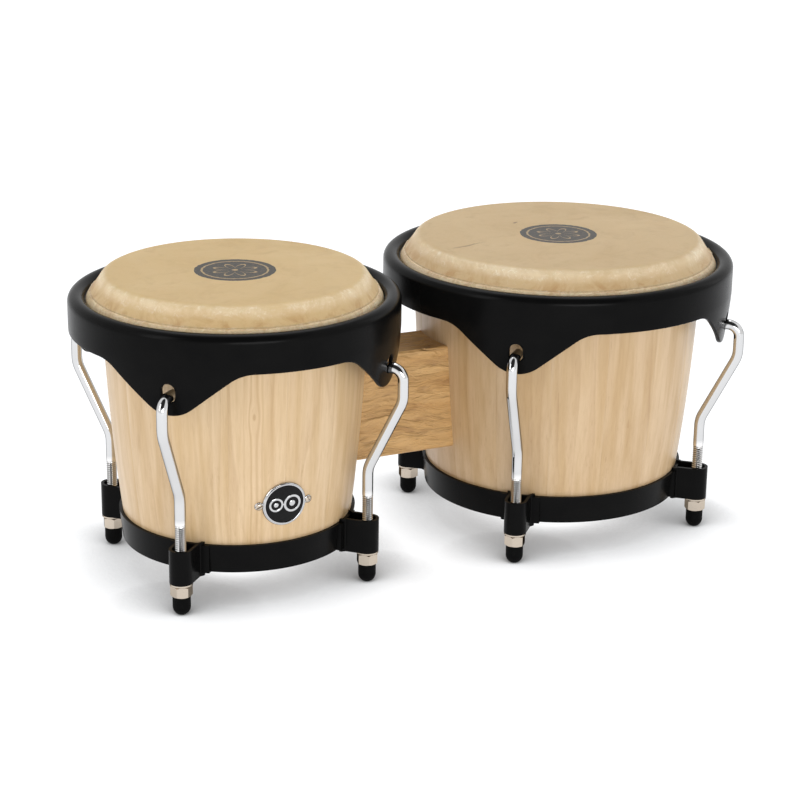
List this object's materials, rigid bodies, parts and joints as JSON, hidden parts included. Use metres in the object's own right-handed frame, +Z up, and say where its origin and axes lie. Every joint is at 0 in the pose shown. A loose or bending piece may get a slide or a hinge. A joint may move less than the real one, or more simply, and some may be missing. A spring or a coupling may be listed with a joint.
{
  "type": "bongo drums",
  "caption": "Pair of hand drums of unequal width joined by a wooden block, with rawhide heads, tabbed black rims, hooked tuning rods and rubber-tipped nuts.",
  "frame": {"origin": "centre of the footprint, on the surface the rubber tips stand on", "axes": "+X from the small drum to the large drum, +Z up, player's side -Y"},
  "size_m": [0.4174, 0.215, 0.1807],
  "materials": {
    "shell_wood": "satin lacquer",
    "block_wood": "satin lacquer",
    "rawhide": "satin",
    "black_coat": "satin powder coat",
    "chrome": "polished",
    "nickel": "satin nickel plate",
    "steel": "zinc plate",
    "brass": "turned",
    "rubber": "matt",
    "badge_black": "gloss"
  },
  "bodies": {
    "drums": {"small_shell": "shell_wood", "small_head": "rawhide", "small_bottom_ring": "black_coat", "small_washers": "nickel", "small_block_bolts": "steel", "small_block_washers": "steel", "small_block_inserts": "brass", "large_shell": "shell_wood", "large_head": "rawhide", "large_bottom_ring": "black_coat", "large_washers": "nickel", "large_block_bolts": "steel", "large_block_washers": "steel", "large_block_inserts": "brass", "centre_block": "block_wood", "badge_plate": "chrome", "badge_inlay": "badge_black", "badge_screws": "nickel"},
    "small_tension": {"small_rim": "black_coat", "small_flesh_hoop": "steel", "small_rod_back_right": "chrome", "small_rod_back_left": "chrome", "small_rod_front_left": "chrome", "small_rod_front_right": "chrome"},
    "large_tension": {"large_rim": "black_coat", "large_flesh_hoop": "steel", "large_rod_back_right": "chrome", "large_rod_back_left": "chrome", "large_rod_front_left": "chrome", "large_rod_front_right": "chrome"},
    "small_tuner_back_right": {"small_nut_back_right": "nickel", "small_rubber_tip_back_right": "rubber"},
    "small_tuner_back_left": {"small_nut_back_left": "nickel", "small_rubber_tip_back_left": "rubber"},
    "small_tuner_front_left": {"small_nut_front_left": "nickel", "small_rubber_tip_front_left": "rubber"},
    "small_tuner_front_right": {"small_nut_front_right": "nickel", "small_rubber_tip_front_right": "rubber"},
    "large_tuner_back_right": {"large_nut_back_right": "nickel", "large_rubber_tip_back_right": "rubber"},
    "large_tuner_back_left": {"large_nut_back_left": "nickel", "large_rubber_tip_back_left": "rubber"},
    "large_tuner_front_left": {"large_nut_front_left": "nickel", "large_rubber_tip_front_left": "rubber"},
    "large_tuner_front_right": {"large_nut_front_right": "nickel", "large_rubber_tip_front_right": "rubber"}
  },
  "joints": [
    {"name": "small_rim_travel", "type": "slide", "parent": "drums", "child": "small_tension", "axis": [0, 0, 1], "range_m": [-0.003, 0.002], "deforming": ["small_head"]},
    {"name": "large_rim_travel", "type": "slide", "parent": "drums", "child": "large_tension", "axis": [0, 0, 1], "range_m": [-0.003, 0.002], "deforming": ["large_head"]},
    {"name": "small_nut_turn_back_right", "type": "hinge", "parent": "drums", "child": "small_tuner_back_right", "pos_m": [-0.05477, 0.05798, 0.0145], "axis": [0, 0, 1], "range_deg": [-569, 852]},
    {"name": "small_nut_turn_back_left", "type": "hinge", "parent": "drums", "child": "small_tuner_back_left", "pos_m": [-0.17073, 0.05798, 0.0145], "axis": [0, 0, 1], "range_deg": [-569, 852]},
    {"name": "small_nut_turn_front_left", "type": "hinge", "parent": "drums", "child": "small_tuner_front_left", "pos_m": [-0.17073, -0.05798, 0.0145], "axis": [0, 0, 1], "range_deg": [-569, 852]},
    {"name": "small_nut_turn_front_right", "type": "hinge", "parent": "drums", "child": "small_tuner_front_right", "pos_m": [-0.05477, -0.05798, 0.0145], "axis": [0, 0, 1], "range_deg": [-569, 852]},
    {"name": "large_nut_turn_back_right", "type": "hinge", "parent": "drums", "child": "large_tuner_back_right", "pos_m": [0.16442, 0.06894, 0.0145], "axis": [0, 0, 1], "range_deg": [-569, 852]},
    {"name": "large_nut_turn_back_left", "type": "hinge", "parent": "drums", "child": "large_tuner_back_left", "pos_m": [0.03231, 0.06317, 0.0145], "axis": [0, 0, 1], "range_deg": [-569, 852]},
    {"name": "large_nut_turn_front_left", "type": "hinge", "parent": "drums", "child": "large_tuner_front_left", "pos_m": [0.03808, -0.06894, 0.0145], "axis": [0, 0, 1], "range_deg": [-569, 852]},
    {"name": "large_nut_turn_front_right", "type": "hinge", "parent": "drums", "child": "large_tuner_front_right", "pos_m": [0.17019, -0.06317, 0.0145], "axis": [0, 0, 1], "range_deg": [-569, 852]}
  ],
  "couplings": [
    {"joint": "small_nut_turn_back_right", "follows": "small_rim_travel", "rad_per_m": -4947.4},
    {"joint": "small_nut_turn_back_left", "follows": "small_rim_travel", "rad_per_m": -4947.4},
    {"joint": "small_nut_turn_front_left", "follows": "small_rim_travel", "rad_per_m": -4947.4},
    {"joint": "small_nut_turn_front_right", "follows": "small_rim_travel", "rad_per_m": -4947.4},
    {"joint": "large_nut_turn_back_right", "follows": "large_rim_travel", "rad_per_m": -4947.4},
    {"joint": "large_nut_turn_back_left", "follows": "large_rim_travel", "rad_per_m": -4947.4},
    {"joint": "large_nut_turn_front_left", "follows": "large_rim_travel", "rad_per_m": -4947.4},
    {"joint": "large_nut_turn_front_right", "follows": "large_rim_travel", "rad_per_m": -4947.4}
  ]
}
